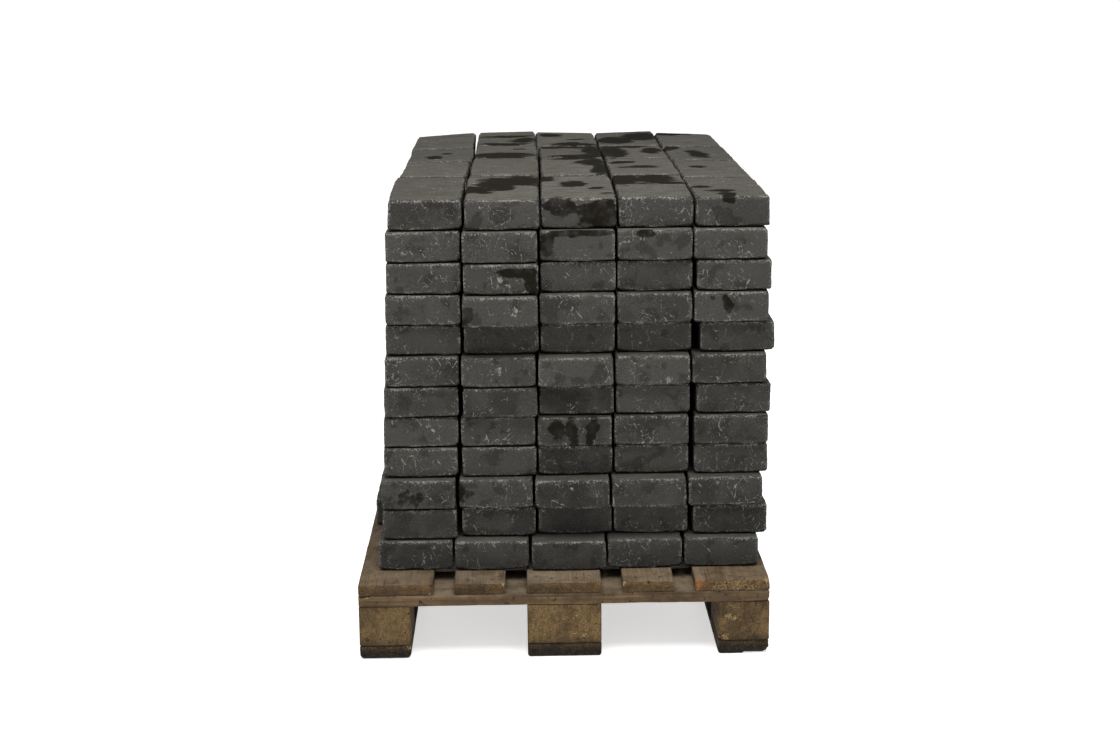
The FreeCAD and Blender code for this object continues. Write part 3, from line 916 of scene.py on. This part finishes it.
def painted_shade(n, dry, place, facing):
    """Paints shade into a colour: in the joints between pavers, on the undersides under overhangs
    and in the hollows.
    """
    # Painted shade in the joints beside and behind each paver.
    crevice_shade = n.times(n.band(n.attribute("crevice_shade"), 0.30, 0.90),
                      n.band(n.noise(place, 90, 2), 0.35, 0.60, 0.90, 0.35))
    crevice_shade = n.times(crevice_shade, n.band(facing, 0.2, 0.8, 0.25, 1.0))
    dry = n.mix(crevice_shade, dry, JOINT_SHADE)
    row_joint_shade = n.times(n.band(n.attribute("row_joint_shade"), 0.22, 0.55),
                        n.band(n.noise(place, 60, 3), 0.38, 0.62, 0.98, 0.30))
    dry = n.mix(row_joint_shade, dry, JOINT_SHADE)
    # Painted shade: the undersides, which face away from the light, and the honeycomb hollows are
    # darkened.
    dry = n.mix(n.band(facing, -0.80, -0.25, 0.85, 0.0), dry, SHADE_BLACK)
    return n.mix(n.times(n.attribute("hollow"), 0.7), dry, SHADE_BLACK)


def wetness(n, place, top):
    """How wet concrete looks, with a ragged edge round each patch; thinner on the sides."""
    ragged = n.noise(n.scale(place, (0.5, 1.4, 1.0)), 55, 4, 0.66)
    ragged = n.plus(n.attribute("wet"), n.times(n.math("SUBTRACT", ragged, 0.5), 1.3))
    strength = n.mix(top, n.band(n.noise(place, 42, 3), 0.35, 0.60, 0.62, 0.95),
                     colour(0.96, 0.96, 0.96))
    return n.times(n.band(ragged, 0.54, 0.68), strength)


def concrete_material():
    """Charcoal concrete: mottled, scratched, gritty and pale along its edges, darker where wet,
    with painted light on the tops and painted shade in the joints, on the undersides and in the
    hollows.
    """
    n = Nodes("tumbled_concrete")
    place = n.attribute("grain_place", "Vector")
    rim = n.attribute("rim")
    facing = n.facing_up()
    top = n.band(facing, 0.55, 0.95)
    grain = n.noise(place, 400, 2, 0.7)

    base = concrete_base(n, place, top, grain)
    pale = pale_marks(n, place, facing, rim)
    dusty = n.times(rim, n.band(n.noise(place, 28, 3), 0.40, 0.62, 0.0, 0.28))
    base = n.mix(dusty, base, colour(0.090, 0.087, 0.078))
    dry = n.mix(n.times(n.attribute("chip"), 0.22), base, colour(0.075, 0.073, 0.066))
    dry = n.mix(pale, dry, colour(0.225, 0.220, 0.198))
    dry = painted_shade(n, dry, place, facing)
    wet = wetness(n, place, top)
    n.put("Base Color", n.mix(wet, dry, colour(0.0085, 0.0072, 0.0052)))
    n.put("Roughness", n.math("SUBTRACT", n.band(grain, 0.2, 0.8, 0.84, 0.98), n.times(wet, 0.22)))
    n.put("Specular IOR Level", 0.005)

    coarse = n.bump(n.noise(place, 120, 3, 0.6), 1.8 * MM, 0.7)
    fine = n.bump(grain, 1.2 * MM, 0.9, coarse)
    n.put("Normal", n.bump(pale, 0.7 * MM, 0.6, fine))
    return n.material


RINGS_PER_METRE = 210.0


def late_wood(n, place):
    """Where the dark half of each growth ring shows. The pith lies at x = z = 0."""
    wander = n.noise(n.scale(place, (1.0, 0.25, 1.0)), 14.0, 2.0, 0.5, "Color")
    wander = n.vector("SUBTRACT", wander, (0.5, 0.5, 0.5))
    bent = n.vector("ADD", place, n.scale(wander, (0.022, 0.0, 0.022)))
    distance = n.vector("LENGTH", n.scale(bent, (1.0, 0.0, 1.0)), output="Value")
    rings = n.math("FRACT", n.times(distance, RINGS_PER_METRE))
    return n.times(n.band(rings, 0.30, 0.9), n.band(rings, 0.9, 1.0, 1.0, 0.0))


def wood_material(name, dark, light, grey, end_dark, end_light, dirt):
    """Softwood cut from a log, then weathered: long grain on the sides and rings on the ends, with
    painted highlights on the ends and painted light on the stringers' tops.

    dark, light and grey colour the sides, end_dark and end_light the ends."""
    n = Nodes(name)
    place = n.attribute("wood_place", "Vector")
    facing = n.facing_up()
    deep = colour(*(0.25 * part for part in dark))
    late = late_wood(n, place)

    fibres = n.noise(n.scale(place, (330.0, 9.0, 330.0)), 1.0, 3, 0.65)
    streaks = n.noise(n.scale(place, (60.0, 2.2, 60.0)), 1.0, 3, 0.6)
    side = n.mix(n.band(streaks, 0.35, 0.65), colour(*dark), colour(*light))
    side = n.mix(n.times(late, 0.55), side, colour(*dark))
    weather = n.band(n.noise(n.scale(place, (14.0, 5.0, 14.0)), 1.0, 3), 0.35, 0.65, 0.30, 1.0)
    side = n.mix(n.times(weather, n.band(facing, 0.2, 0.9, 0.15, 0.9)), side, colour(*grey))
    side = n.mix(n.band(fibres, 0.30, 0.50, 0.60, 0.0), side, deep)
    side = n.mix(n.band(fibres, 0.56, 0.72, 0.0, 0.40), side, colour(*end_light))

    speckle = n.noise(place, 330, 3, 0.75)
    cut = n.mix(n.band(speckle, 0.40, 0.62), colour(*end_dark), colour(*end_light))
    sawn = n.noise(n.scale(place, (110.0, 30.0, 60.0)), 1.0, 4, 0.65)
    cut = n.mix(n.band(sawn, 0.38, 0.54, 0.50, 0.0), cut, deep)
    upper = n.times(n.attribute("upper"), n.band(n.noise(place, 70, 3), 0.35, 0.6))
    cut = n.mix(upper, cut, colour(0.150, 0.088, 0.035))
    cut = n.mix(n.times(late, 0.55), cut, colour(*end_dark))
    # Painted highlights: bright specks on the end grain, at 1.7 times its light colour.
    painted_highlights = n.times(n.band(speckle, 0.60, 0.70), n.band(n.noise(place, 40, 2), 0.42, 0.6), 0.4)
    cut = n.mix(painted_highlights, cut, colour(*(1.7 * part for part in end_light)))
    wood = n.mix(n.attribute("end_grain"), side, cut)
    wood = n.mix(n.band(n.attribute("tone"), -1, 1, 0.0, 0.35), wood, colour(*dark))

    # Painted light on the stringers' tops, which lie in shade under the load.
    pale = n.times(n.attribute("pale"), n.band(streaks, 0.3, 0.6, 0.45, 0.9))
    wood = n.mix(pale, wood, colour(0.145, 0.112, 0.074))
    soil = n.times(n.band(n.noise(place, 20, 5, 0.68), 0.46, 0.62), dirt)
    wood = n.mix(soil, wood, colour(0.012, 0.009, 0.006))
    flecks = n.band(n.noise(place, 95, 2, 0.6), 0.66, 0.70, 0.0, 0.75)
    wood = n.mix(flecks, wood, colour(0.008, 0.006, 0.004))
    sodden = n.band(n.noise(place, 110, 4, 0.7), 0.40, 0.60, 1.0, 0.60)
    wood = n.mix(n.times(n.attribute("damp"), sodden), wood, colour(0.006, 0.005, 0.004))
    worn_edge = n.times(n.attribute("wear"), n.band(speckle, 0.42, 0.58, 0.65, 0.0))
    wood = n.mix(worn_edge, wood, deep)
    grime = n.times(n.attribute("grime"), n.band(n.noise(place, 30, 4, 0.6), 0.35, 0.62))
    wood = n.mix(grime, wood, colour(0.022, 0.013, 0.007))
    bare = n.times(n.attribute("fresh"), n.band(speckle, 0.46, 0.60))
    wood = n.mix(bare, wood, colour(0.38, 0.28, 0.12))
    rusty = n.times(n.attribute("rust"), n.band(n.noise(place, 380, 3), 0.42, 0.56))
    n.put("Base Color", n.mix(rusty, wood, colour(0.31, 0.105, 0.026)))
    n.put("Roughness", n.band(fibres, 0.2, 0.8, 0.76, 0.95))
    n.put("Specular IOR Level", 0.15)

    ridges = n.bump(fibres, 0.9 * MM, 0.8)
    ridges = n.bump(late, 0.5 * MM, 0.5, ridges)
    n.put("Normal", n.bump(speckle, 1.0 * MM, 0.8, ridges))
    return n.material


def nail_material():
    """Dull steel, browned by rust."""
    n = Nodes("rusty_nail")
    place = n.add("ShaderNodeTexCoord", {}, "Object")
    rust = n.band(n.noise(place, 900, 4, 0.7), 0.35, 0.6)
    n.put("Base Color", n.mix(rust, colour(0.055, 0.050, 0.045), colour(0.085, 0.038, 0.016)))
    n.put("Roughness", n.band(rust, 0.0, 1.0, 0.45, 0.9))
    n.put("Metallic", n.band(rust, 0.0, 1.0, 0.8, 0.1))
    n.put("Normal", n.bump(rust, 0.3 * MM, 0.6))
    return n.material


def floor_material():
    """A plain pale studio floor. It is lit a little from within so that shadows on it stay soft,
    but not deep under the pallet."""
    n = Nodes("pale_floor")
    place = n.add("ShaderNodeNewGeometry", {}, "Position")
    across = n.math("ABSOLUTE", n.add("ShaderNodeSeparateXYZ", {0: place}, "X"))
    along = n.add("ShaderNodeSeparateXYZ", {0: place}, "Y")
    low, high = cad_bounds
    under = n.times(n.band(along, 0.42 * low.y, 0.20 * low.y),
                    n.band(along, 0.75 * high.y, high.y, 1.0, 0.0),
                    n.band(across, 0.8 * high.x, high.x, 1.0, 0.0))
    mottle = n.noise(place, 3, 2)
    n.put("Base Color", n.mix(mottle, colour(0.86, 0.86, 0.86), colour(0.90, 0.90, 0.90)))
    n.put("Roughness", 0.9)
    n.put("Specular IOR Level", 0.0)
    n.put("Emission Color", colour(1, 1, 1))
    n.put("Emission Strength", n.band(under, 0.0, 1.0, 0.60, 0.0))
    return n.material


# ---------------------------------------------------------------- studio and camera

FLOOR_SIZE = 160
FLOOR_DROP = 0.2 * MM  # keeps the floor clear of the undersides that rest on it

FRAME_WIDTH = 1120
FOCAL_PIXELS = 1903
SENSOR_WIDTH = 36
CAMERA_ANGLES = (1.073, 12.951, -0.536)  # degrees to the right, down and anticlockwise
CAMERA_X = -0.070
CAMERA_DISTANCE = 3.503  # in front of the pallet
CAMERA_HEIGHT = 1.372


def make_floor():
    """A wide flat floor under the pallet."""
    bpy.ops.mesh.primitive_plane_add(size=FLOOR_SIZE, location=(0, 0, -FLOOR_DROP))
    floor = bpy.context.object
    floor.name = "studio_floor"
    floor.data.materials.append(floor_material())
    floor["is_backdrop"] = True


def make_world():
    """Even white light from all round."""
    world = bpy.data.worlds.new("studio")
    world.use_nodes = True
    background = world.node_tree.nodes["Background"]
    background.inputs["Color"].default_value = colour(1, 1, 1)
    background.inputs["Strength"].default_value = 0.54
    bpy.context.scene.world = world


def make_softbox():
    """A square light above and in front of the load, turned towards its middle."""
    light = bpy.data.lights.new("overhead", "AREA")
    light.size = 2.6
    light.energy = 165
    lamp = bpy.data.objects.new("overhead", light)
    place = Vector((0.0, -1.3, 3.5))
    lamp.location = place
    lamp.rotation_euler = (Vector((0, 0, 0.5)) - place).to_track_quat("-Z", "Y").to_euler()
    bpy.context.scene.collection.objects.link(lamp)


def make_camera():
    """A camera in front of the load, a little left of its middle and looking slightly down."""
    yaw, pitch, roll = (math.radians(angle) for angle in CAMERA_ANGLES)
    forward = Vector((math.sin(yaw) * math.cos(pitch), math.cos(yaw) * math.cos(pitch),
                      -math.sin(pitch)))
    level = Vector((math.cos(yaw), -math.sin(yaw), 0))
    upright = level.cross(forward)
    right = math.cos(roll) * level + math.sin(roll) * upright
    up = math.cos(roll) * upright - math.sin(roll) * level
    turn = Matrix((right, up, -forward)).transposed().to_4x4()
    pallet_front = min(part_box("deck_board_centre")[0].y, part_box("deck_board_left")[0].y)
    place = (CAMERA_X, pallet_front - CAMERA_DISTANCE, CAMERA_HEIGHT)
    lens = bpy.data.cameras.new("camera")
    lens.sensor_width = SENSOR_WIDTH
    lens.lens = FOCAL_PIXELS / FRAME_WIDTH * SENSOR_WIDTH
    lens.clip_end = 300
    camera = bpy.data.objects.new("camera", lens)
    camera.matrix_world = Matrix.Translation(place) @ turn
    bpy.context.scene.collection.objects.link(camera)
    bpy.context.scene.camera = camera


def make_studio():
    """The floor, the lights and the camera."""
    make_floor()
    make_world()
    make_softbox()
    make_camera()
    bpy.context.scene.view_settings.view_transform = "Standard"


# ---------------------------------------------------------------- everything

def main():
    """The worn pavers and wood, the nails' steel and the studio."""
    wood = {
        "board_wood": wood_material(
            "weathered_board", dark=(0.075, 0.045, 0.022), light=(0.175, 0.116, 0.062),
            grey=(0.185, 0.150, 0.104), end_dark=(0.036, 0.020, 0.008),
            end_light=(0.110, 0.068, 0.030), dirt=0.35),
        "block_wood": wood_material(
            "pallet_block", dark=(0.078, 0.047, 0.021), light=(0.165, 0.108, 0.052),
            grey=(0.105, 0.075, 0.040), end_dark=(0.082, 0.051, 0.021),
            end_light=(0.170, 0.113, 0.050), dirt=0.38),
        "bottom_board_wood": wood_material(
            "dirty_bottom_board", dark=(0.040, 0.025, 0.012), light=(0.095, 0.061, 0.029),
            grey=(0.052, 0.037, 0.022), end_dark=(0.015, 0.010, 0.005),
            end_light=(0.100, 0.064, 0.030), dirt=0.65),
    }
    make_pavers(concrete_material())
    make_pallet(wood)
    steel = nail_material()
    for node in ("deck_nails_long", "deck_nails_short", "bottom_nails"):
        slots = frame["nodes"][node].data.materials
        slots.clear()
        slots.append(steel)
    make_studio()


main()

visual_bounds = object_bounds()
boxes = {"cad": cad_bounds, "visual": visual_bounds}
{name: [list(corner) for corner in box] for name, box in boxes.items()}
